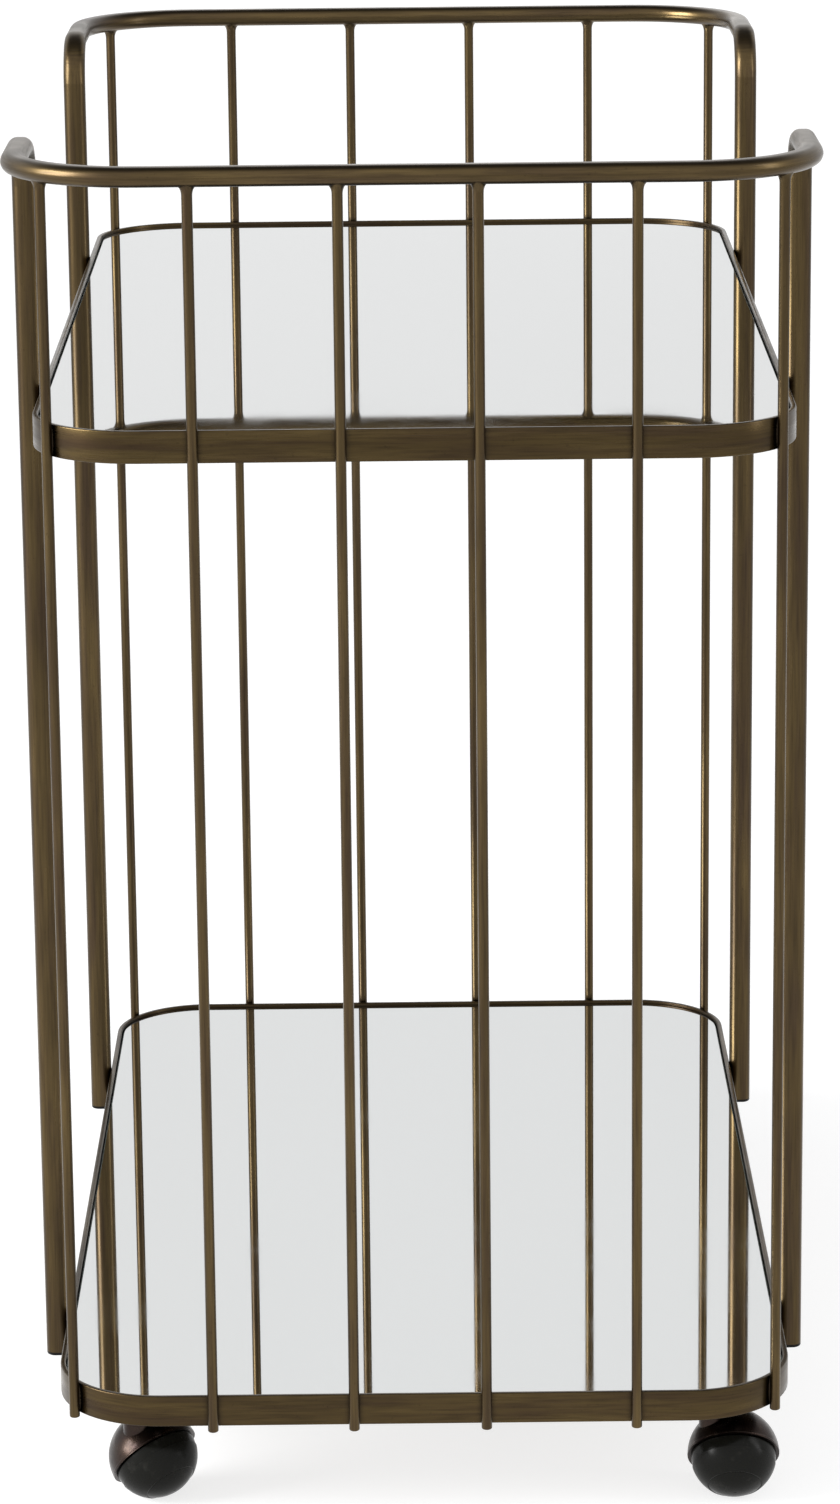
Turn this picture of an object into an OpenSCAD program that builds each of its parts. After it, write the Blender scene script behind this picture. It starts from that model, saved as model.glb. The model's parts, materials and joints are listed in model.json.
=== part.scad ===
// Two-tier bar cart: mirrored trays in flat-bar frames, carried by two bent tube
// hoops with upright rods between rail and trays, on four hooded ball casters.
// X is across the cart, Y is along it, Z is up. The floor is z = 0.

/* [Trays] */
// Width of a tray frame, outside to outside
tray_width = 420; // [410:5:480]
// Length of a tray frame, outside to outside
tray_length = 740; // [730:10:860]
// Outside corner radius of a tray frame
tray_corner_r = 60; // [55:1:70]
// Height of the flat bar that frames a tray
bar_height = 18; // [18:1:24]
// Thickness of the flat bar
bar_thick = 3; // [2:0.5:4]
// Height of the lower tray's underside above the floor
lower_tray_z = 64; // [64:1:80]
// Height of the upper tray's underside above the floor
upper_tray_z = 620; // [540:5:640]
// Depth of the mirror's face below the frame's top edge
mirror_drop = 2; // [2:0.5:4]
// Thickness of the mirror glass
mirror_thick = 4; // [3:0.5:4]
// Thickness of the board under the mirror
board_thick = 3; // [2:0.5:3]
// Thickness of the ledge that carries the board
ledge_thick = 2.5; // [2:0.5:3]
// Width of the ledge
ledge_width = 14; // [10:1:20]
// Width of the cross bars under a board
cross_bar_width = 20; // [15:1:30]
// Distance of each cross bar from the tray's middle
cross_bar_y = 120; // [80:5:160]

/* [Hoops] */
// Height of the rail's top above the floor
rail_top_z = 781.5; // [740:0.5:820]
// Wide side of the flat-oval tube
tube_width = 14; // [12:1:16]
// Narrow side of the flat-oval tube
tube_thick = 11; // [9:1:12]
// Wall of the tube
tube_wall = 1.2; // [1:0.1:1.5]
// Distance of the legs from the cart's middle, along its length
leg_y = 228; // [190:1:240]
// Centreline radius of the bend from leg to rail
leg_bend_r = 25; // [20:1:35]
// Height of the leg caps' underside above the floor
foot_z = 54; // [50:1:62]
// Thickness of a leg cap's rim
cap_rim = 2; // [1.5:0.5:3]
// Depth of a leg cap's plug
cap_plug = 12; // [8:1:20]

/* [Rods] */
// Diameter of the upright rods
rod_d = 6; // [5:0.5:6]
// Spacing of the rods across the cart
rod_pitch = 80; // [76:1:81]
// How far the rods reach below the lower tray
rod_tail = 2; // [0:0.5:4]
// Distance of the fourth front rod from its even place
front_rod_shift = -5; // [-8:1:8]

/* [Casters] */
// Distance of a caster's stem from the middle, across the cart
caster_x = 166; // [130:1:166]
// Distance of a caster's stem from the middle, along the cart
caster_y = 325; // [260:1:325]
// Diameter of the ball wheel over its tread
ball_d = 50; // [50:1:52]
// Distance from the stem's axis to the ball's centre
trail = 12; // [10:0.5:13]
// Slope of the wheel's axle below the horizontal, in degrees
axle_slope = 40; // [36:1:44]
// Diameter of the stem that the caster swivels on
stem_d = 8; // [7:0.5:8]
// Diameter of the wheel's axle
axle_d = 6; // [5:0.5:6]
// Running clearance between a shaft and its bore, on the radius
run_gap = 0.05; // [0.03:0.01:0.1]
// Rest angle of the front left caster about its stem, in degrees
turn_front_left = 40; // [-180:5:180]
// Rest angle of the front right caster
turn_front_right = 0; // [-180:5:180]
// Rest angle of the rear left caster
turn_rear_left = 25; // [-180:5:180]
// Rest angle of the rear right caster
turn_rear_right = 15; // [-180:5:180]

/* [Hidden] */
$fn = 96;

bronze = [0.36, 0.29, 0.17];
dark_bronze = [0.27, 0.22, 0.17];
steel = [0.62, 0.61, 0.58];
mirror_silver = [0.86, 0.87, 0.87];
board_grey = [0.30, 0.28, 0.26];
black_nylon = [0.06, 0.06, 0.06];
black_rubber = [0.04, 0.04, 0.04];

weld_gap = 0.05;
slip = 0.5;
plug_gap = 0.1;
fixed_gap = 0.02;
// How far a cutting shape reaches past the face that it opens
cut = 1;

rod_r = rod_d / 2;
rail_z = rail_top_z - tube_thick / 2;
rail_x = tray_width / 2 + weld_gap + tube_width / 2;
rail_y = tray_length / 2 + weld_gap + rod_r;
corner_x = tray_width / 2 - tray_corner_r;
corner_y = tray_length / 2 - tray_corner_r;

// The outer rods stand on the tray's rounded corners, and the rail's own corner
// is the arc that passes straight over them, to a tenth of a millimetre.
rod_count = 6;
shifted_rod = 4;
middle_number = (rod_count + 1) / 2;
outer_rod_x = (rod_count - middle_number) * rod_pitch;
outer_rod_r = tray_corner_r + weld_gap + rod_r;
outer_rod_y = corner_y + sqrt(pow(outer_rod_r, 2) - pow(outer_rod_x - corner_x, 2));
inset_x = rail_x - outer_rod_x;
inset_y = rail_y - outer_rod_y;
rail_corner_r = round(10 * (inset_x + inset_y + sqrt(2 * inset_x * inset_y))) / 10;

leg_base_z = foot_z + cap_rim;
leg_end_z = rail_z - leg_bend_r;
run_start_y = leg_y + leg_bend_r;
run_end_y = rail_y - rail_corner_r;

ledge_drop = mirror_drop + mirror_thick + board_thick + ledge_thick;
ledge_z = lower_tray_z + bar_height - ledge_drop;

corner_plate_size = 74;
corner_plate_thick = 3;
// How far a corner plate's middle lies outside its caster's stem
corner_plate_shift = 4;
corner_plate_z = ledge_z - corner_plate_thick;
caster_plate_size = 44;
caster_plate_thick = 2.5;
caster_plate_z = corner_plate_z - caster_plate_thick;
caster_plate_r = 5;
screw_offset = 16;
screw_r = 2;
screw_head_r = 4;
screw_head_h = 2.4;
screw_socket_r = 1.3;
screw_socket_h = 1.4;
screw_hole_r = 2.15;

ball_r = ball_d / 2;

// Heights along the axle count from the ball's centre, outwards through the wheel.
tread_proud = 0.4;
tread_thick = 3;
tread_low = 7;
tread_high = 19.5;
tread_gap = 0.1;
hub_r = ball_r - tread_proud;
hub_face = 0.8;
groove_r = ball_r - tread_thick;
axle_r = axle_d / 2;
axle_inner = -19;
axle_outer = 15;
axle_end_gap = 1;
axle_boss_wall = 3.5;
axle_boss_r = axle_r + axle_boss_wall;
axle_boss_end = -2;
hood_shell = 1.5;
hood_r = ball_r + hood_shell;
hood_wall = 2;
hood_rim = 0.3;

// Heights along the stem count from the ball's centre, upwards.
washer_r = 9;
washer_thick = 2.4;
washer_lift = 0.2;
washer_play = 0.2;
boss_r = 8;
boss_low = 13;
boss_top = caster_plate_z - washer_lift - washer_thick - ball_r;
boss_floor = 3;
stem_r = stem_d / 2;
stem_bore_low = boss_low + boss_floor;
stem_end_gap = 1;
stem_end = stem_bore_low + stem_end_gap;

// ---- Hoops: leg, bend, side run, corner and end run are one bent tube ----

// Flat-oval outline, wide side along x
module flat_oval(w, t) {
  square([w - t, t], center = true);
  for (side = [-1, 1]) translate([side * (w - t) / 2, 0]) circle(d = t);
}

module tube_section() {
  difference() {
    flat_oval(tube_width, tube_thick);
    flat_oval(tube_width - 2 * tube_wall, tube_thick - 2 * tube_wall);
  }
}

module half_hoop() {
  translate([rail_x, leg_y, leg_base_z])
    linear_extrude(leg_end_z - leg_base_z) tube_section();
  translate([rail_x, run_start_y, leg_end_z]) rotate([90, 0, -90])
    rotate_extrude(angle = 90) translate([leg_bend_r, 0]) rotate(90) tube_section();
  translate([rail_x, run_start_y, rail_z]) rotate([-90, 0, 0])
    linear_extrude(run_end_y - run_start_y) tube_section();
  translate([rail_x - rail_corner_r, run_end_y, rail_z])
    rotate_extrude(angle = 90) translate([rail_corner_r, 0]) tube_section();
  translate([0, rail_y, rail_z]) rotate([90, 0, 90])
    linear_extrude(rail_x - rail_corner_r) tube_section();
}

module hoop() {
  color(bronze) {
    half_hoop();
    mirror([1, 0, 0]) half_hoop();
  }
}

// Plug and rim that close the two leg ends of one hoop
module leg_caps() {
  play = tube_wall + plug_gap;
  color(black_nylon)
    for (side = [-1, 1]) translate([side * rail_x, leg_y, foot_z]) {
      linear_extrude(cap_rim) flat_oval(tube_width, tube_thick);
      linear_extrude(cap_rim + cap_plug)
        flat_oval(tube_width - 2 * play, tube_thick - 2 * play);
    }
}

// ---- Rods: number 1 to 6 from -X to +X, standing outside both tray frames ----

module rod(number, shift = 0) {
  x = (number - middle_number) * rod_pitch + shift;
  y = abs(x) < corner_x ? rail_y : outer_rod_y;
  base = lower_tray_z - rod_tail;
  color(bronze) translate([x, y, base]) cylinder(h = rail_top_z - tube_thick - base, r = rod_r);
}

// ---- Trays ----

// Rounded rectangle, set in from the tray's outline by inset
module tray_outline(inset) {
  w = tray_width - 2 * inset;
  l = tray_length - 2 * inset;
  r = tray_corner_r - inset;
  square([w - 2 * r, l], center = true);
  square([w, l - 2 * r], center = true);
  for (x = [-1, 1], y = [-1, 1]) translate([x * (w / 2 - r), y * (l / 2 - r)]) circle(r = r);
}

module tray_frame() {
  color(bronze) linear_extrude(bar_height) difference() {
    tray_outline(0);
    tray_outline(bar_thick);
  }
}

module tray_ledge() {
  color(bronze) translate([0, 0, bar_height - ledge_drop]) linear_extrude(ledge_thick) difference() {
    tray_outline(bar_thick);
    tray_outline(bar_thick + ledge_width);
  }
}

module cross_bars() {
  reach = tray_width / 2 - bar_thick - ledge_width;
  color(bronze) for (side = [-1, 1])
    translate([-reach, side * cross_bar_y - cross_bar_width / 2, bar_height - ledge_drop])
      cube([2 * reach, cross_bar_width, ledge_thick]);
}

module board() {
  color(board_grey) translate([0, 0, bar_height - mirror_drop - mirror_thick - board_thick])
    linear_extrude(board_thick) tray_outline(bar_thick + slip);
}

module mirror_glass() {
  color(mirror_silver) translate([0, 0, bar_height - mirror_drop - mirror_thick])
    linear_extrude(mirror_thick) tray_outline(bar_thick + slip);
}

// ---- Caster mounting: steel plates under the lower ledge ----

module screw_spots() {
  for (x = [-1, 1], y = [-1, 1]) translate([x * screw_offset, y * screw_offset, 0]) children();
}

// Side is +1 or -1 along each axis
module corner_plate(side_x, side_y) {
  half = corner_plate_size / 2;
  mid_x = caster_x + corner_plate_shift;
  mid_y = caster_y + corner_plate_shift;
  color(bronze) difference() {
    intersection() {
      translate([0, 0, corner_plate_z])
        linear_extrude(corner_plate_thick) tray_outline(bar_thick + slip);
      translate([side_x * mid_x - half, side_y * mid_y - half, corner_plate_z])
        cube([corner_plate_size, corner_plate_size, corner_plate_thick]);
    }
    translate([side_x * caster_x, side_y * caster_y, corner_plate_z - cut])
      screw_spots() cylinder(h = corner_plate_thick + 2 * cut, r = screw_hole_r);
  }
}

module caster_screws() {
  color(steel) for (x = [-1, 1], y = [-1, 1]) translate([x * caster_x, y * caster_y, 0])
    screw_spots() difference() {
      union() {
        translate([0, 0, caster_plate_z - screw_head_h]) cylinder(h = screw_head_h, r = screw_head_r);
        translate([0, 0, caster_plate_z])
          cylinder(h = caster_plate_thick + corner_plate_thick, r = screw_r);
      }
      translate([0, 0, caster_plate_z - screw_head_h - cut])
        cylinder(h = screw_socket_h + cut, r = screw_socket_r, $fn = 6);
    }
}

// ---- Casters: each is drawn about its stem, with the ball at +X and facing -Y ----

module caster_plate() {
  flat = caster_plate_size - 2 * caster_plate_r;
  color(dark_bronze) translate([0, 0, caster_plate_z]) difference() {
    linear_extrude(caster_plate_thick) {
      square([flat, caster_plate_size], center = true);
      square([caster_plate_size, flat], center = true);
      for (x = [-1, 1], y = [-1, 1]) translate([x * flat / 2, y * flat / 2]) circle(r = caster_plate_r);
    }
    translate([0, 0, -cut]) {
      cylinder(h = caster_plate_thick + 2 * cut, r = stem_r + fixed_gap);
      screw_spots() cylinder(h = caster_plate_thick + 2 * cut, r = screw_hole_r);
    }
  }
}

module stem() {
  color(steel) translate([0, 0, ball_r + stem_end])
    cylinder(h = corner_plate_z - ball_r - stem_end, r = stem_r);
}

module swivel_washer() {
  color(steel) translate([0, 0, ball_r + boss_top]) difference() {
    cylinder(h = washer_thick, r = washer_r);
    translate([0, 0, -cut]) cylinder(h = washer_thick + 2 * cut, r = stem_r + washer_play);
  }
}

// Frame whose +Z runs along the axle, out through the wheel's pole
module on_axle() {
  translate([trail, 0, ball_r]) rotate([90 + axle_slope, 0, 0]) children();
}

// Part of a ball between two heights along the axle
module ball_slice(r, low, high) {
  intersection() {
    sphere(r = r);
    translate([0, 0, low]) cylinder(h = high - low, r = r + cut);
  }
}

// Half shell over the ball, with a boss for the axle inside it and one for the stem
module hood() {
  color(dark_bronze) difference() {
    union() {
      difference() {
        on_axle() ball_slice(hood_r, -hood_r - cut, hood_rim);
        on_axle() sphere(r = hood_r - hood_wall);
      }
      intersection() {
        on_axle() sphere(r = hood_r - hood_wall / 2);
        on_axle() translate([0, 0, -hood_r]) cylinder(h = hood_r + axle_boss_end, r = axle_boss_r);
      }
      translate([0, 0, ball_r + boss_low]) cylinder(h = boss_top - boss_low, r = boss_r);
    }
    on_axle() translate([0, 0, axle_inner]) cylinder(h = cut - axle_inner, r = axle_r + fixed_gap);
    translate([0, 0, ball_r + stem_bore_low]) cylinder(h = boss_top, r = stem_r + run_gap);
  }
}

module axle() {
  color(steel) on_axle() translate([0, 0, axle_inner])
    cylinder(h = axle_outer - axle_inner, r = axle_r);
}

module wheel() {
  color(black_nylon) on_axle() difference() {
    ball_slice(hub_r, hub_face, hub_r + cut);
    difference() {
      translate([0, 0, tread_low]) cylinder(h = tread_high - tread_low, r = hub_r + cut);
      sphere(r = groove_r);
    }
    cylinder(h = axle_outer + axle_end_gap, r = axle_r + run_gap);
  }
}

module tread() {
  color(black_rubber) on_axle() difference() {
    ball_slice(ball_r, tread_low + tread_gap, tread_high - tread_gap);
    sphere(r = groove_r + tread_gap);
  }
}

module place_caster(side_x, side_y, turn) {
  translate([side_x * caster_x, side_y * caster_y, 0]) rotate(turn) children();
}

module front_left() place_caster(-1, -1, turn_front_left) children();
module front_right() place_caster(1, -1, turn_front_right) children();
module rear_left() place_caster(-1, 1, turn_rear_left) children();
module rear_right() place_caster(1, 1, turn_rear_right) children();

// ---- Nodes ----

rotate(180) hoop();  // front_hoop
hoop();  // rear_hoop
rotate(180) leg_caps();  // front_leg_caps
leg_caps();  // rear_leg_caps
for (number = [1:rod_count]) {
  union() {
    mirror([0, 1, 0]) rod(number, number == shifted_rod ? front_rod_shift : 0);
  }
  rod(number);
}
for (tray = [["upper", upper_tray_z], ["lower", lower_tray_z]]) translate([0, 0, tray[1]]) {
  tray_frame();
  tray_ledge();
  cross_bars();
  board();
  mirror_glass();
}
corner_plate(-1, -1);  // corner_plate_front_left
corner_plate(1, -1);  // corner_plate_front_right
corner_plate(-1, 1);  // corner_plate_rear_left
corner_plate(1, 1);  // corner_plate_rear_right
caster_screws();
place_caster(-1, -1, 0) caster_plate();  // caster_plate_front_left
front_left() stem();  // stem_front_left
front_left() swivel_washer();  // swivel_washer_front_left
front_left() hood();  // hood_front_left
front_left() axle();  // axle_front_left
front_left() wheel();  // wheel_front_left
front_left() tread();  // tread_front_left
place_caster(1, -1, 0) caster_plate();  // caster_plate_front_right
front_right() stem();  // stem_front_right
front_right() swivel_washer();  // swivel_washer_front_right
front_right() hood();  // hood_front_right
front_right() axle();  // axle_front_right
front_right() wheel();  // wheel_front_right
front_right() tread();  // tread_front_right
place_caster(-1, 1, 0) caster_plate();  // caster_plate_rear_left
rear_left() stem();  // stem_rear_left
rear_left() swivel_washer();  // swivel_washer_rear_left
rear_left() hood();  // hood_rear_left
rear_left() axle();  // axle_rear_left
rear_left() wheel();  // wheel_rear_left
rear_left() tread();  // tread_rear_left
place_caster(1, 1, 0) caster_plate();  // caster_plate_rear_right
rear_right() stem();  // stem_rear_right
rear_right() swivel_washer();  // swivel_washer_rear_right
rear_right() hood();  // hood_rear_right
rear_right() axle();  // axle_rear_right
rear_right() wheel();  // wheel_rear_right
rear_right() tread();  // tread_rear_right
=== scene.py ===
"""Looks of a two-tier bar cart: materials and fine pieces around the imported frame. Metres, Z up."""

import json
import math

import bmesh
import bpy
from mathutils import Matrix, Vector


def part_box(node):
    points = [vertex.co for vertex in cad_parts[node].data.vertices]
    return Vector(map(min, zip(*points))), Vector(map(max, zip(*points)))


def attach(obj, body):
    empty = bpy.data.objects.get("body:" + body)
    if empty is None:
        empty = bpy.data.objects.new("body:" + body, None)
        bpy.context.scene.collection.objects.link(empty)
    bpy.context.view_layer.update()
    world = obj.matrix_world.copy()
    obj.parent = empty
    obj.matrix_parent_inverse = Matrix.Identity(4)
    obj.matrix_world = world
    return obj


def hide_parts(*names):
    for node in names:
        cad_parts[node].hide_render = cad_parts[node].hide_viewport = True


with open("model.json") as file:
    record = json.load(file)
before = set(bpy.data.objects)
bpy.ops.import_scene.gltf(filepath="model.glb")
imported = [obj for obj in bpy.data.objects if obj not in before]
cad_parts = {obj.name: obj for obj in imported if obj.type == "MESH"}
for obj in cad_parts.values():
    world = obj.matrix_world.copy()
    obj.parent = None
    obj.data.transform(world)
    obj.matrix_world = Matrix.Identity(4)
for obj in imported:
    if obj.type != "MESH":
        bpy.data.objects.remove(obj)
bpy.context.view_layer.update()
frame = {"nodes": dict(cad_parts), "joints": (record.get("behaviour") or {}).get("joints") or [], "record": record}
NODES = frame["nodes"]
BOXES = {name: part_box(name) for name in NODES}
MM = 0.001

# The words that names of the frame's nodes, bodies and joints are made of.
ROOT = "cart_frame"
TRAYS = ("upper", "lower")
ENDS = ("front", "rear")
CORNERS = ("front_left", "front_right", "rear_left", "rear_right")
ROD_NUMBERS = range(1, 7)

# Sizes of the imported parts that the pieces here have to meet.
TRAY_CORNER = 60 * MM
BAR_THICK = 3 * MM
ROD_RADIUS = 3 * MM
TUBE_HALF_WIDE = 7 * MM
TUBE_HALF_THICK = 5.5 * MM
RAIL_CORNER = 70.7 * MM
RAIL_CENTRE = BOXES["front_hoop"][1].z - TUBE_HALF_THICK
HOOD_RADIUS = 26.5 * MM
HOOD_WALL = 2 * MM


# ---- Node trees ----


class Nodes:
    """A node tree, with short calls for the nodes used here."""

    def __init__(self, tree):
        self.tree = tree

    def link(self, source, target):
        self.tree.links.new(source, target)

    def put(self, value, target):
        """Sets an input to a number, a colour or another node's output."""
        if isinstance(value, bpy.types.NodeSocket):
            self.link(value, target)
        elif isinstance(value, tuple):
            target.default_value = (*value, 1.0)
        else:
            target.default_value = value

    def coordinates(self, kind):
        return self.tree.nodes.new("ShaderNodeTexCoord").outputs[kind]

    def axes(self, source):
        """The X, Y and Z of a place or a direction."""
        node = self.tree.nodes.new("ShaderNodeSeparateXYZ")
        self.link(source, node.inputs[0])
        return node.outputs

    def math(self, kind, first, second):
        node = self.tree.nodes.new("ShaderNodeMath")
        node.operation = kind
        self.put(first, node.inputs[0])
        self.put(second, node.inputs[1])
        return node.outputs[0]

    def mix(self, share, first, second):
        """Colour mix. first and second are colours or other nodes' outputs."""
        node = self.tree.nodes.new("ShaderNodeMix")
        node.data_type = "RGBA"
        self.put(share, node.inputs[0])
        self.put(first, node.inputs[6])
        self.put(second, node.inputs[7])
        return node.outputs[2]

    def span(self, value, low, high, to_low=0.0, to_high=1.0, kind="LINEAR"):
        """value, moved from low..high to to_low..to_high and held there beyond its ends."""
        node = self.tree.nodes.new("ShaderNodeMapRange")
        node.interpolation_type = kind
        for name, number in (
            ("From Min", low), ("From Max", high), ("To Min", to_low), ("To Max", to_high)
        ):
            node.inputs[name].default_value = number
        self.link(value, node.inputs["Value"])
        return node.outputs["Result"]


class Shader(Nodes):
    """One material and its node tree."""

    def __init__(self, name):
        self.material = bpy.data.materials.new(name)
        self.material.use_nodes = True
        super().__init__(self.material.node_tree)
        self.surface = self.tree.nodes["Principled BSDF"]
        self.place = self.coordinates("Object")

    def set(self, **values):
        for name, value in values.items():
            self.surface.inputs[name.replace("_", " ")].default_value = value

    def colour(self, source):
        self.link(source, self.surface.inputs["Base Color"])

    def roughness(self, source):
        self.link(source, self.surface.inputs["Roughness"])

    def bump(self, height, strength, distance):
        node = self.tree.nodes.new("ShaderNodeBump")
        node.inputs["Strength"].default_value = strength
        node.inputs["Distance"].default_value = distance
        self.link(height, node.inputs["Height"])
        self.link(node.outputs["Normal"], self.surface.inputs["Normal"])

    def noise(self, scale, detail=3.0, roughness=0.5, stretch=None, distortion=0.0):
        node = self.tree.nodes.new("ShaderNodeTexNoise")
        node.inputs["Scale"].default_value = scale
        node.inputs["Detail"].default_value = detail
        node.inputs["Roughness"].default_value = roughness
        node.inputs["Distortion"].default_value = distortion
        source = self.place
        if stretch:
            mapping = self.tree.nodes.new("ShaderNodeMapping")
            mapping.inputs["Scale"].default_value = stretch
            self.link(source, mapping.inputs["Vector"])
            source = mapping.outputs["Vector"]
        self.link(source, node.inputs["Vector"])
        return node.outputs["Fac"]

    def painted_crevice_shade(self, reach):
        """Painted shade: 1 in the open and towards 0 in corners closer than reach."""
        node = self.tree.nodes.new("ShaderNodeAmbientOcclusion")
        node.samples = 8
        node.inputs["Distance"].default_value = reach
        return node.outputs["AO"]


# ---- Metals ----

# Stretches of a noise: a small share draws it out along that axis.
ALONG_Z = (1.0, 1.0, 0.03)
ALONG_XY = (0.05, 0.05, 1.0)
EVEN = (1.0, 1.0, 1.0)
# The least share for streaks of colour, which are shorter than the brushing.
STREAK_STRETCH = 0.07
# The brushing of a bent tube turns over twice BEND_BLEND, round BEND_DROP below the rail's centre.
BEND_DROP = 14 * MM
BEND_BLEND = 8 * MM
# How far the painted shade in corners and crevices reaches.
CREVICE_SHADE_REACH = 5 * MM


def plated_metal(name, light, mid, dark, umber, stretch, gloss=(0.20, 0.37), level_above=None):
    """Lacquered antique plating: streaked colour, fine brushing along the piece, and painted shade that darkens it
    in the corners.

    A bent tube is brushed along Z below level_above, and along the level run above it.
    """
    shader = Shader(name)
    shader.set(Metallic=1.0, Coat_Weight=0.1, Coat_Roughness=0.18)
    if level_above:
        height = shader.axes(shader.place)["Z"]
        level = shader.span(height, level_above - BEND_BLEND, level_above + BEND_BLEND)

    def grain(scale, least, **values):
        """Noise drawn out along the piece, by least at the most."""
        first = shader.noise(scale, stretch=tuple(max(share, least) for share in stretch), **values)
        if not level_above:
            return first
        second = shader.noise(scale, stretch=tuple(max(share, least) for share in ALONG_XY), **values)
        return shader.mix(level, first, second)

    clouds = grain(95.0, STREAK_STRETCH, detail=4.0, roughness=0.55, distortion=0.2)
    patches = grain(150.0, STREAK_STRETCH, detail=3.0, roughness=0.55)
    brushing = grain(900.0, 0.0, detail=2.0)
    specks = shader.noise(420.0, detail=4.0, roughness=0.7)
    tone = shader.mix(shader.span(clouds, 0.36, 0.66), mid, light)
    tone = shader.mix(shader.span(patches, 0.44, 0.70, 0.0, 0.7), tone, umber)
    tone = shader.mix(shader.span(brushing, 0.42, 0.72, 0.0, 0.35), tone, dark)
    tone = shader.mix(shader.span(specks, 0.62, 0.74, 0.0, 0.45), tone, dark)
    # Painted shade: the tone turns to the dark colour in corners and crevices, by the occlusion there.
    tone = shader.mix(shader.span(shader.painted_crevice_shade(CREVICE_SHADE_REACH), 0.25, 0.85), dark, tone)
    shader.colour(tone)
    rough = shader.math("ADD", shader.span(clouds, 0.3, 0.7, gloss[1], gloss[0]),
                        shader.span(brushing, 0.3, 0.8, 0.0, 0.08))
    shader.roughness(rough)
    shader.bump(shader.math("ADD", brushing, specks), 0.12, 0.05 * MM)
    return shader.material


def zinc_material():
    shader = Shader("zinc_plating")
    shader.set(Metallic=1.0)
    spangle = shader.noise(380.0, detail=3.0, roughness=0.6)
    shader.colour(shader.mix(shader.span(spangle, 0.3, 0.7), (0.36, 0.355, 0.34), (0.55, 0.54, 0.52)))
    shader.roughness(shader.span(spangle, 0.3, 0.7, 0.28, 0.46))
    shader.bump(spangle, 0.1, 0.03 * MM)
    return shader.material


# ---- Mirrors and boards ----

MIRROR_SILVER = (0.650, 0.662, 0.662)
MIRROR_DUST = (0.55, 0.56, 0.56)


def mirror_material():
    shader = Shader("silvered_glass")
    shader.set(Metallic=1.0, IOR=1.5, Specular_Tint=(0.85, 0.85, 0.85, 1.0))
    smears = shader.noise(7.0, detail=5.0, roughness=0.6)
    dust = shader.noise(900.0, detail=2.0)
    shader.colour(shader.mix(shader.span(dust, 0.72, 0.8, 0.0, 0.25), MIRROR_SILVER, MIRROR_DUST))
    shader.roughness(shader.span(smears, 0.45, 0.75, 0.012, 0.06))
    return shader.material


def glass_edge_material():
    """Ground and polished edge, where the glass shows its faint green."""
    shader = Shader("glass_edge")
    shader.set(IOR=1.5, Coat_Weight=0.6, Coat_Roughness=0.05)
    grinding = shader.noise(700.0, detail=2.0, stretch=(1.0, 1.0, 0.1))
    shader.colour(shader.mix(shader.span(grinding, 0.3, 0.7), (0.40, 0.50, 0.46), (0.58, 0.66, 0.62)))
    shader.roughness(shader.span(grinding, 0.3, 0.7, 0.10, 0.26))
    return shader.material


def mirror_back_material():
    shader = Shader("mirror_back_paint")
    orange_peel = shader.noise(240.0, detail=3.0)
    shader.colour(shader.mix(orange_peel, (0.17, 0.18, 0.19), (0.23, 0.24, 0.25)))
    shader.roughness(shader.span(orange_peel, 0.3, 0.7, 0.45, 0.6))
    shader.bump(orange_peel, 0.2, 0.05 * MM)
    return shader.material


def board_material():
    shader = Shader("fibreboard")
    fibres = shader.noise(260.0, detail=6.0, roughness=0.75)
    blotches = shader.noise(18.0, detail=4.0)
    tone = shader.mix(shader.span(fibres, 0.35, 0.7), (0.060, 0.045, 0.032), (0.13, 0.10, 0.07))
    shader.colour(shader.mix(shader.span(blotches, 0.4, 0.7, 0.0, 0.3), tone, (0.05, 0.04, 0.03)))
    shader.roughness(shader.span(fibres, 0.3, 0.7, 0.62, 0.85))
    shader.bump(fibres, 0.35, 0.1 * MM)
    return shader.material


# ---- Black parts ----

SCUFF_DULLING = 0.22


def black_polymer(name, low, high, gloss, grain):
    """Moulded black: nearly even, with scuffs that turn it greyer and duller."""
    shader = Shader(name)
    shader.set(IOR=1.5, Specular_IOR_Level=0.10)
    scuffs = shader.noise(95.0, detail=6.0, roughness=0.72)
    skin = shader.noise(grain, detail=2.0)
    shader.colour(shader.mix(shader.span(scuffs, 0.55, 0.78), low, high))
    shader.roughness(shader.span(scuffs, 0.4, 0.75, gloss, gloss + SCUFF_DULLING))
    shader.bump(skin, 0.12, 0.04 * MM)
    return shader.material


# ---- The look of every slot ----

BRASS = {
    "light": (0.108, 0.074, 0.031), "mid": (0.066, 0.045, 0.020),
    "dark": (0.014, 0.010, 0.007), "umber": (0.048, 0.031, 0.021),
}
# The same brass made darker for the flat tray bars: painted shade, not a different finish.
BRASS_BAR_PAINTED_SHADE = {
    "light": (0.084, 0.057, 0.022), "mid": (0.051, 0.034, 0.014),
    "dark": (0.012, 0.008, 0.005), "umber": (0.038, 0.023, 0.014),
}
BRASS_WELD = {
    "light": (0.13, 0.094, 0.052), "mid": (0.075, 0.053, 0.028),
    "dark": (0.016, 0.011, 0.008), "umber": (0.05, 0.034, 0.024),
}
BRONZE = {
    "light": (0.040, 0.027, 0.021), "mid": (0.022, 0.015, 0.012),
    "dark": (0.006, 0.004, 0.004), "umber": (0.026, 0.016, 0.015),
}
NYLON = {"low": (0.005, 0.005, 0.004), "high": (0.018, 0.017, 0.015), "gloss": 0.16, "grain": 700.0}
RUBBER = {"low": (0.0055, 0.0055, 0.0045), "high": (0.022, 0.021, 0.018), "gloss": 0.24, "grain": 1500.0}
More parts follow.
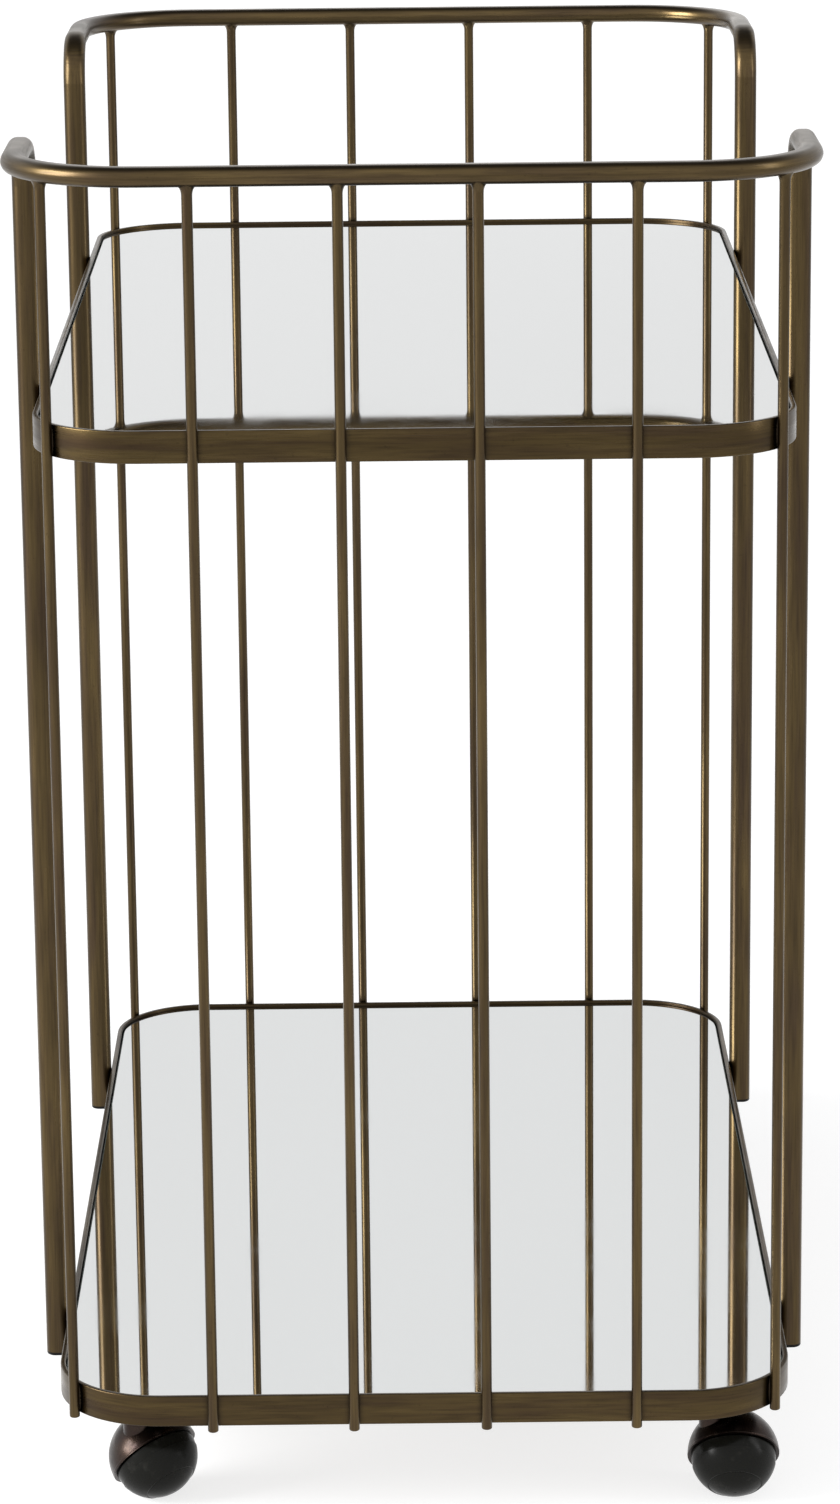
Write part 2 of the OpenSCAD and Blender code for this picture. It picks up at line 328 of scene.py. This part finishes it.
LOOKS = {
    "upright": plated_metal("antique_brass_upright", **BRASS, stretch=ALONG_Z),
    "hoop": plated_metal("antique_brass_hoop", **BRASS, stretch=ALONG_Z,
                         level_above=RAIL_CENTRE - BEND_DROP),
    # The tray bars take the darker brass: painted shade.
    "level": plated_metal("antique_brass_level_painted_shade", **BRASS_BAR_PAINTED_SHADE, stretch=ALONG_XY),
    "caster_bronze": plated_metal("caster_bronze", **BRONZE, stretch=EVEN, gloss=(0.20, 0.36)),
    "weld": plated_metal("antique_brass_weld", **BRASS_WELD, stretch=EVEN, gloss=(0.34, 0.52)),
    "mirror_glass": mirror_material(),
    "glass_edge": glass_edge_material(),
    "mirror_back": mirror_back_material(),
    "backing_board": board_material(),
    "zinc_steel": zinc_material(),
    "black_nylon": black_polymer("black_nylon", **NYLON),
    "black_rubber": black_polymer("black_rubber", **RUBBER),
}


def look_for(name, slot):
    """Brass is brushed along each part, and the flat tray bars take a darker copy of it as painted shade, so its
    look goes by the part and not by the slot alone.
    """
    if slot != "antique_brass":
        return LOOKS[slot]
    return LOOKS["upright" if "rod" in name else "hoop" if "hoop" in name else "level"]


def paint_cad_nodes():
    for part in frame["record"]["subparts"]:
        mesh = NODES[part["node"]].data
        mesh.materials.clear()
        mesh.materials.append(look_for(part["node"], part["material_slot"]))


# ---- Mesh helpers ----


def add_object(name, data):
    made = bpy.data.objects.new(name, data)
    bpy.context.scene.collection.objects.link(made)
    return made


def add_piece(name, verts, faces, looks, slot, body=ROOT, stands_for=(), face_looks=None, sharp=40.0):
    """A closed mesh in the row frame that rides on a body. face_looks gives each face's place in looks."""
    mesh = bpy.data.meshes.new(name)
    mesh.from_pydata([tuple(v) for v in verts], [], faces)
    shape = bmesh.new()
    shape.from_mesh(mesh)
    bmesh.ops.recalc_face_normals(shape, faces=shape.faces)
    shape.to_mesh(mesh)
    shape.free()
    for look in looks:
        mesh.materials.append(look)
    if face_looks:
        mesh.polygons.foreach_set("material_index", face_looks)
    mesh.shade_smooth()
    mesh.set_sharp_from_angle(angle=math.radians(sharp))
    piece = add_object(name, mesh)
    if stands_for:
        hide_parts(*stands_for)
    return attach(piece, body)


def loft(rings, closed=False):
    """Verts and quads between equal closed rings of points. closed joins the last ring to the first."""
    count = len(rings[0])
    verts = [point for ring in rings for point in ring]
    faces = []
    for j in range(len(rings) if closed else len(rings) - 1):
        low, high = j * count, (j + 1) % len(rings) * count
        for i in range(count):
            k = (i + 1) % count
            faces.append((low + i, low + k, high + k, high + i))
    return verts, faces


def capped(rings):
    """A loft closed at both ends by one face each."""
    verts, faces = loft(rings)
    count = len(rings[0])
    faces.append(tuple(range(count)))
    faces.append(tuple(len(verts) - 1 - i for i in range(count)))
    return verts, faces


def joined(parts):
    """Several (verts, faces) as one."""
    verts, faces = [], []
    for part_verts, part_faces in parts:
        shift = len(verts)
        verts += part_verts
        faces += [tuple(i + shift for i in face) for face in part_faces]
    return verts, faces


def full_turn(count):
    """Angles evenly round a circle."""
    return [2 * math.pi * i / count for i in range(count)]


def quarter_turn(steps, start=0):
    """Angles from start, in degrees, through a quarter of a circle, both ends included."""
    return [math.radians(start + 90 * i / steps) for i in range(steps + 1)]


def level_direction(angle):
    return Vector((math.cos(angle), math.sin(angle), 0))


def raised(z):
    return Vector((0, 0, z))


def middle(low, high):
    """Middle of a box, on the floor."""
    return Vector(((low.x + high.x) / 2, (low.y + high.y) / 2, 0))


# ---- Camera, floor and light ----

# The camera was fitted to the photo's straight edges.
CAMERA_PLACE = Vector((-0.0033, -3.0635, 1.1625))
CAMERA_PITCH = math.radians(14.66)
CAMERA_YAW = math.radians(-0.092)
CAMERA_ROLL = math.radians(-0.588)
SENSOR_HEIGHT = 36.0
LENS = 121.7


def add_camera():
    data = bpy.data.cameras.new("camera")
    data.sensor_fit = "VERTICAL"
    data.sensor_height = SENSOR_HEIGHT
    data.lens = LENS
    data.clip_start = 0.05
    data.clip_end = 100.0
    camera = add_object("camera", data)
    turn = Matrix.Rotation(CAMERA_YAW, 4, "Z") @ Matrix.Rotation(math.pi / 2 - CAMERA_PITCH, 4, "X")
    camera.matrix_world = Matrix.Translation(CAMERA_PLACE) @ turn @ Matrix.Rotation(CAMERA_ROLL, 4, "Z")
    bpy.context.scene.camera = camera


FLOOR_HALF_WIDTH = 14.0
FLOOR_FRONT = -8.0
FLOOR_BACK = 9.0
FLOOR_HEIGHT = 6.0
COVE_RADIUS = 3.0
COVE_STEPS = 24
# Emission strength round the cart and far off, and the stretches of Y and of |X| between the two.
FLOOR_GLOW = 0.76
FLOOR_GLOW_FAR = 0.42
GLOW_FALL_FRONT = (-4.5, -0.5)
GLOW_FALL_SIDE = (0.9, 2.6)


def floor_material():
    """A pale sweep lit from within, so that shadows stay faint, and dimmer far to the front and sides."""
    shader = Shader("pale_floor")
    tone = shader.noise(0.8, detail=2.0)
    shader.colour(shader.mix(tone, (0.30, 0.30, 0.30), (0.34, 0.34, 0.34)))
    shader.set(Roughness=0.9, Emission_Color=(1.0, 1.0, 1.0, 1.0))
    axes = shader.axes(shader.place)
    front = shader.span(axes["Y"], *GLOW_FALL_FRONT, 1.0, 0.0)
    side = shader.span(shader.math("ABSOLUTE", axes["X"], 0.0), *GLOW_FALL_SIDE)
    glow = shader.span(shader.math("MAXIMUM", front, side), 0.0, 1.0, FLOOR_GLOW, FLOOR_GLOW_FAR)
    shader.link(glow, shader.surface.inputs["Emission Strength"])
    return shader.material


def add_floor(material):
    """One pale sheet, flat under the cart and curved up behind it."""
    line = [(FLOOR_FRONT, 0.0)]
    for a in quarter_turn(COVE_STEPS):
        line.append((FLOOR_BACK - COVE_RADIUS + COVE_RADIUS * math.sin(a),
                     COVE_RADIUS - COVE_RADIUS * math.cos(a)))
    line.append((FLOOR_BACK, FLOOR_HEIGHT))
    verts = [(x, y, z) for y, z in line for x in (-FLOOR_HALF_WIDTH, FLOOR_HALF_WIDTH)]
    faces = [(2 * i, 2 * i + 1, 2 * i + 3, 2 * i + 2) for i in range(len(line) - 1)]
    mesh = bpy.data.meshes.new("floor")
    mesh.from_pydata(verts, [], faces)
    mesh.shade_smooth()
    mesh.materials.append(material)
    add_object("floor", mesh)


# Size is width and height in metres, and power is in watts.
SOFTBOXES = {
    "window": {"place": (-3.0, -1.1, 1.7), "target": (0, 0, 0.5), "size": (1.7, 1.9), "power": 190},
    "fill": {"place": (2.8, -1.0, 1.5), "target": (0, 0, 0.4), "size": (0.5, 2.2), "power": 18},
}


def add_softbox(name, place, target, size, power):
    data = bpy.data.lights.new(name, "AREA")
    data.shape = "RECTANGLE"
    data.size, data.size_y = size
    data.energy = power
    aim = (Vector(target) - Vector(place)).to_track_quat("-Z", "Y")
    add_object(name, data).matrix_world = Matrix.Translation(place) @ aim.to_matrix().to_4x4()


# Brightness of the room's walls and colour of its ceiling.
ROOM_BACK = 1.0
ROOM_LEFT = 1.45
ROOM_FRONT = 1.25
ROOM_CEILING = (0.12, 0.13, 0.16)
# Stretches of a direction's Y, X, Z and again Y over which the room turns from one to the next.
FRONT_TO_BACK = (-0.80, 0.10)
LEFT_TO_RIGHT = (-0.85, -0.30)
WALL_TO_CEILING = (0.45, 0.80)
CEILING_START = (-0.60, 0.05)


def add_world():
    """A room that is bright at the left and before the cart, with a dark ceiling over and behind it."""
    world = bpy.data.worlds.new("studio")
    bpy.context.scene.world = world
    world.use_nodes = True
    room = Nodes(world.node_tree)
    axes = room.axes(room.coordinates("Generated"))

    def turn(axis, stretch, first=0.0, second=1.0):
        return room.span(axes[axis], *stretch, first, second, kind="SMOOTHSTEP")

    walls = room.math("MULTIPLY", turn("Y", FRONT_TO_BACK, ROOM_FRONT, ROOM_BACK),
                      turn("X", LEFT_TO_RIGHT, ROOM_LEFT))
    ceiling = room.math("MULTIPLY", turn("Z", WALL_TO_CEILING), turn("Y", CEILING_START))
    room.link(room.mix(ceiling, walls, ROOM_CEILING), room.tree.nodes["Background"].inputs["Color"])


# ---- Trays ----

OUTLINE_CORNER_STEPS = 18
RUN_STEP = 25 * MM
BAR_EDGE_RADIUS = 0.7 * MM
BAR_EDGE_STEPS = 4
GLASS_BEVEL = 0.9 * MM
GLASS_SHARP = 20.0


def tray_outline(half_x, half_y, radius):
    """(point, outward normal) round a tray, from the +Y end of its +X side."""
    line = []
    for side_x, side_y, start in ((1, 1, 0), (-1, 1, 90), (-1, -1, 180), (1, -1, 270)):
        centre = Vector((side_x * (half_x - radius), side_y * (half_y - radius), 0))
        for a in quarter_turn(OUTLINE_CORNER_STEPS, start):
            line.append((centre + radius * level_direction(a), level_direction(a)))
    full = []
    for (here, normal), (ahead, _) in zip(line, line[1:] + line[:1]):
        full.append((here, normal))
        pieces = int((ahead - here).length / RUN_STEP)
        full += [(here.lerp(ahead, i / pieces), normal) for i in range(1, pieces)]
    return full


def swept_ring(path, inset, z):
    """A tray's outline, moved inwards by inset and up to z."""
    return [point - normal * inset + raised(z) for point, normal in path]


def rounded_box_line(wide, high, radius, steps):
    """Points round a rectangle from (0, 0) to (wide, high), with its corners rounded."""
    line = []
    for cx, cy, start in (
        (wide - radius, radius, -90), (wide - radius, high - radius, 0),
        (radius, high - radius, 90), (radius, radius, 180),
    ):
        for a in quarter_turn(steps, start):
            line.append((cx + radius * math.cos(a), cy + radius * math.sin(a)))
    return line


def build_tray_frame(tray):
    """Flat bar bent round the tray, with its edges eased."""
    node = f"{tray}_tray_frame"
    low, high = BOXES[node]
    path = tray_outline(high.x, high.y, TRAY_CORNER)
    profile = rounded_box_line(BAR_THICK, high.z - low.z, BAR_EDGE_RADIUS, BAR_EDGE_STEPS)
    rings = [swept_ring(path, inset, low.z + z) for inset, z in profile]
    add_piece(f"{tray}_tray_bar", *loft(rings, closed=True), [LOOKS["level"]], "antique_brass",
              stands_for=(node,))


def build_mirror(tray):
    """Silvered glass with a polished arris all round and painted on the back."""
    node = f"{tray}_mirror"
    low, high = BOXES[node]
    inner_corner = TRAY_CORNER - (BOXES[f"{tray}_tray_frame"][1].x - high.x)
    path = tray_outline(high.x, high.y, inner_corner)
    steps = ((GLASS_BEVEL, low.z), (0, low.z + GLASS_BEVEL / 3),
             (0, high.z - GLASS_BEVEL), (GLASS_BEVEL, high.z))
    verts, faces = capped([swept_ring(path, inset, z) for inset, z in steps])
    looks = [LOOKS["mirror_glass"], LOOKS["glass_edge"], LOOKS["mirror_back"]]
    top, edge, back = range(3)
    places = [edge] * (len(faces) - 2) + [back, top]
    add_piece(f"{tray}_mirror_glass", verts, faces, looks, "mirror_glass",
              stands_for=(node,), face_looks=places, sharp=GLASS_SHARP)


# ---- Rods and their welds to the rail ----

ROD_POINTS = 28
ROD_EASE = 0.9 * MM
ROD_EASE_STEPS = 4
FILLET_DROP = 4.8 * MM
FILLET_REACH = 2.3 * MM
FILLET_STEPS = 8
# A fillet's edge climbs no further up the tube than at this share of its half thickness.
FILLET_LIMIT = 0.98
# How far a weld goes into the part that it meets.
SINK = 0.12 * MM


def ripple(angle, seed):
    """A small even unevenness, the same each run, round about 1."""
    return 1 + 0.10 * math.sin(3 * angle + 1.7 * seed) + 0.06 * math.sin(7 * angle + 2.9 * seed)


def rail_underside(point, end):
    """Height of the rail's lower surface over or beside a point near its line."""
    low, high = BOXES[f"{end}_hoop"]
    rail_x, rail_y = high.x - TUBE_HALF_WIDE, max(-low.y, high.y) - TUBE_HALF_WIDE
    x, y = abs(point.x), abs(point.y)
    corner_x, corner_y = rail_x - RAIL_CORNER, rail_y - RAIL_CORNER
    if x > corner_x and y > corner_y:
        off = math.hypot(x - corner_x, y - corner_y) - RAIL_CORNER
    else:
        off = y - rail_y
    flat = TUBE_HALF_WIDE - TUBE_HALF_THICK
    side = min(max(abs(off) - flat, 0.0), FILLET_LIMIT * TUBE_HALF_THICK)
    return high.z - TUBE_HALF_THICK - math.sqrt(TUBE_HALF_THICK ** 2 - side ** 2)


def build_rod(end, number, seed):
    """Round rod with an eased lower end and a weld fillet that meets the tube above it."""
    node = f"{end}_rod_{number}"
    low, high = BOXES[node]
    centre = middle(low, high)
    turns = full_turn(ROD_POINTS)
    rings = []
    for a in quarter_turn(ROD_EASE_STEPS):
        radius = ROD_RADIUS - ROD_EASE + ROD_EASE * math.sin(a)
        z = low.z + ROD_EASE - ROD_EASE * math.cos(a)
        rings.append([centre + level_direction(t) * radius + raised(z) for t in turns])
    start = high.z - FILLET_DROP
    for a in quarter_turn(FILLET_STEPS):
        ring = []
        for t in turns:
            reach = FILLET_REACH * ripple(t, seed) * (1 - math.cos(a))
            edge = centre + level_direction(t) * (ROD_RADIUS + reach)
            top = rail_underside(edge, end) + SINK
            ring.append(Vector((edge.x, edge.y, start + (top - start) * math.sin(a))))
        rings.append(ring)
    add_piece(f"{end}_rod_{number}_welded", *capped(rings), [LOOKS["upright"]], "antique_brass",
              stands_for=(node,))


# ---- Welds between the uprights and the tray frames ----

# How far a fillet spreads over the frame, by the radius of the bar: a rod's or a leg's.
WELD_REACH = {ROD_RADIUS: 1.3 * MM, TUBE_HALF_THICK: 2.2 * MM}
WELD_MARGIN = 1.2 * MM
WELD_STEPS = 22
WELD_CURVE_STEPS = 6
# A fillet thins towards its ends by a power of a sine, cut off short of the very ends.
WELD_END = 0.02
WELD_TAPER = 0.35
WELD_BEADS = 7
WELD_BEAD_DEPTH = 0.16
# How much further round the bar a fillet climbs than its size alone would take it.
WELD_CLIMB = math.radians(28)
WELD_SEED_STEP = 1.3


def weld_strip(foot, outward, along, bar_radius, low, high, seed):
    """A rippled fillet in the crevice between an upright bar and a frame's face, on one side of the bar."""
    centre = foot + outward * bar_radius
    rings = []
    for k in range(WELD_STEPS + 1):
        share = k / WELD_STEPS
        taper = math.sin(math.pi * min(max(share, WELD_END), 1 - WELD_END)) ** WELD_TAPER
        bead = 1 + WELD_BEAD_DEPTH * math.sin(2 * math.pi * WELD_BEADS * share + seed)
        size = WELD_REACH[bar_radius] * taper * bead
        root = foot - outward * SINK + along * 0.1 * size
        on_face = foot - outward * SINK + along * (size + 0.35 * bar_radius)
        angle = math.atan2(size, bar_radius) + WELD_CLIMB
        on_bar = centre + (bar_radius - SINK) * (along * math.sin(angle) - outward * math.cos(angle))
        bend = foot + outward * 0.22 * size + along * 0.55 * size
        ring = [root]
        for i in range(WELD_CURVE_STEPS + 1):
            u = i / WELD_CURVE_STEPS
            ring.append(on_face * (1 - u) ** 2 + bend * 2 * u * (1 - u) + on_bar * u ** 2)
        rings.append([point + raised(low + (high - low) * share) for point in ring])
    return capped(rings)


def face_point(tray, place):
    """(nearest point on the tray frame's outer face, outward normal) for an upright beside it."""
    high = BOXES[f"{tray}_tray_frame"][1]
    corner = Vector((high.x - TRAY_CORNER, high.y - TRAY_CORNER, 0))
    x, y = abs(place.x), abs(place.y)
    if x > corner.x and y > corner.y:
        out = Vector((x - corner.x, y - corner.y, 0)).normalized()
        foot = corner + out * TRAY_CORNER
    elif y > corner.y:
        out, foot = Vector((0, 1, 0)), Vector((x, high.y, 0))
    else:
        out, foot = Vector((1, 0, 0)), Vector((high.x, y, 0))
    flip = Matrix.Diagonal((math.copysign(1, place.x), math.copysign(1, place.y), 1))
    return flip @ foot, flip @ out


def leg_centres(end):
    low, high = BOXES[f"{end}_leg_caps"]
    return [Vector((x, (low.y + high.y) / 2, 0)) for x in (low.x + TUBE_HALF_WIDE, high.x - TUBE_HALF_WIDE)]


def uprights(end):
    """(middle, radius of the rounded side that meets the frames) of each rod and leg at one end."""
    rods = [(middle(*BOXES[f"{end}_rod_{number}"]), ROD_RADIUS) for number in ROD_NUMBERS]
    return rods + [(centre, TUBE_HALF_THICK) for centre in leg_centres(end)]


def build_welds(tray, end):
    """Fillets down both sides of every rod and leg where it passes one tray frame."""
    low, high = BOXES[f"{tray}_tray_frame"]
    strips = []
    for number, (place, radius) in enumerate(uprights(end)):
        foot, outward = face_point(tray, place)
        for side in (-1, 1):
            along = Vector((-outward.y, outward.x, 0)) * side
            strips.append(weld_strip(foot, outward, along, radius,
                                     low.z + WELD_MARGIN, high.z - WELD_MARGIN,
                                     number * WELD_SEED_STEP + side))
    add_piece(f"{tray}_{end}_welds", *joined(strips), [LOOKS["weld"]], "antique_brass")


# ---- Leg caps ----

CAP_POINTS = 40
CAP_RIM = 2 * MM
CAP_EASE = 0.8 * MM
CAP_PLUG_STEP = 1.3 * MM


def build_leg_caps(end):
    """Moulded glides: a domed rim under the tube and a tapered plug inside it."""
    node = f"{end}_leg_caps"
    low, high = BOXES[node]
    # (height, growth beyond the tube's half thickness)
    levels = (
        (low.z, -CAP_EASE), (low.z + 0.3 * CAP_EASE, -0.45 * CAP_EASE), (low.z + CAP_EASE, 0.0),
        (low.z + CAP_RIM, 0.0), (low.z + CAP_RIM, -CAP_PLUG_STEP),
        (high.z - CAP_EASE, -CAP_PLUG_STEP), (high.z, -CAP_PLUG_STEP - CAP_EASE),
    )
    parts = []
    for centre in leg_centres(end):
        rings = []
        for z, grow in levels:
            ring = []
            for a in full_turn(CAP_POINTS):
                half = TUBE_HALF_THICK + grow
                shift = math.copysign(TUBE_HALF_WIDE - TUBE_HALF_THICK, math.cos(a))
                ring.append(centre + Vector((shift + half * math.cos(a), half * math.sin(a), z)))
            rings.append(ring)
        parts.append(capped(rings))
    add_piece(f"{end}_leg_glides", *joined(parts), [LOOKS["black_nylon"]], "black_nylon",
              stands_for=(node,))


# ---- Casters ----

BEAD_RADIUS = 1 * MM
BEAD_LIFT = -0.75 * MM
BEAD_PROUD = 0.1 * MM
BEAD_POINTS = 12
BEAD_RINGS = 96


def build_hood_rim(corner):
    """Rolled bead round the mouth of a hood, clear of the wheel's face."""
    joint = next(j for j in frame["joints"] if j["name"] == f"roll_{corner}")
    centre, axis = Vector(joint["pos_m"]), Vector(joint["axis"]).normalized()
    turn = axis.to_track_quat("Z", "Y").to_matrix()
    mouth_radius = HOOD_RADIUS - HOOD_WALL / 2 + BEAD_PROUD
    rings = []
    for a in full_turn(BEAD_RINGS):
        ring = []
        for b in full_turn(BEAD_POINTS):
            out = level_direction(a) * (mouth_radius + BEAD_RADIUS * math.cos(b))
            ring.append(centre + turn @ (out + raised(BEAD_LIFT + BEAD_RADIUS * math.sin(b))))
        rings.append(ring)
    add_piece(f"hood_rim_{corner}", *loft(rings, closed=True), [LOOKS["caster_bronze"]], "caster_bronze",
              body=f"caster_{corner}")


# ---- The scene ----

add_camera()
add_world()
add_floor(floor_material())
for softbox_name, softbox in SOFTBOXES.items():
    add_softbox(softbox_name, **softbox)
bpy.context.scene.view_settings.view_transform = "Standard"

paint_cad_nodes()
for tray_name in TRAYS:
    build_tray_frame(tray_name)
    build_mirror(tray_name)
    for end_name in ENDS:
        build_welds(tray_name, end_name)
for end_seed, end_name in enumerate(ENDS):
    build_leg_caps(end_name)
    for rod_number in ROD_NUMBERS:
        build_rod(end_name, rod_number, rod_number + len(ROD_NUMBERS) * end_seed)
for corner_name in CORNERS:
    build_hood_rim(corner_name)
